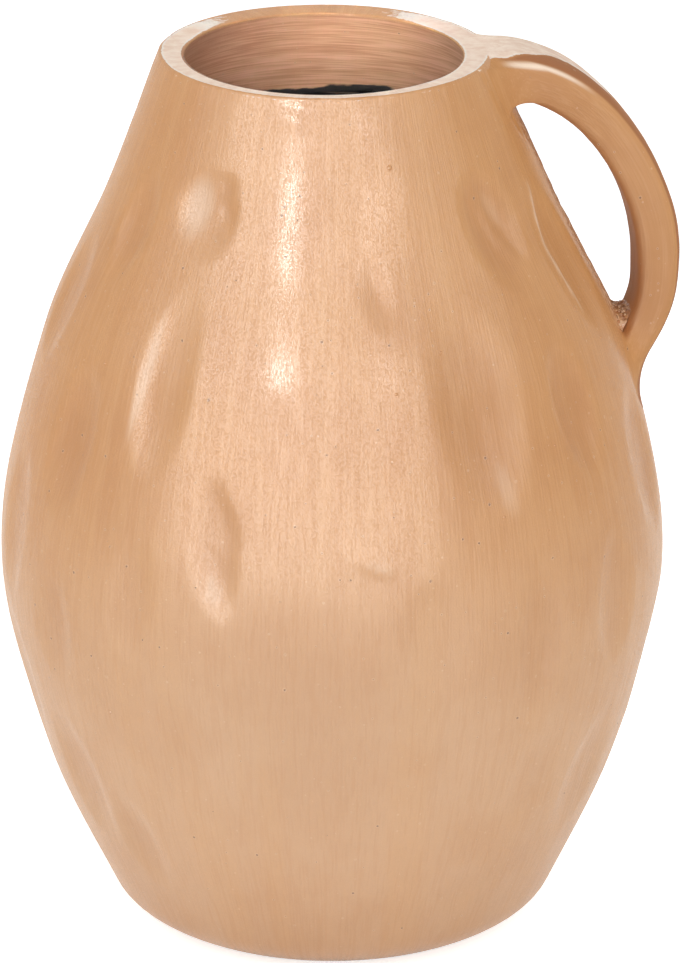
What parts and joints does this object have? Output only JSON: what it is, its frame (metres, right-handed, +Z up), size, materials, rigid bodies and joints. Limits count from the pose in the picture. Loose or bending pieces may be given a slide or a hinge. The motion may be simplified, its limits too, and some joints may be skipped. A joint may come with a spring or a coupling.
{
  "type": "terracotta vase",
  "caption": "Hand-pressed ovoid terracotta vase with a flat cut lip, a strap handle level with the lip, finger dents and a dark sealed inside.",
  "frame": {"origin": "centre of the foot, on the surface that the vase stands on", "axes": "+Z up through the mouth; +X from the middle of the vase towards its handle"},
  "size_m": [0.2663, 0.26, 0.35],
  "materials": {
    "clay": "brushed terracotta slip with a satin sealer, bare and sanded on the lip and along the top of the handle",
    "sealer": "brushed black bitumen-like sealing coat, half matt"
  },
  "bodies": {
    "root": {"body": "clay", "handle": "clay", "upper_slip_joint": "clay", "lower_slip_joint": "clay", "sealing_coat": "sealer"}
  },
  "joints": []
}
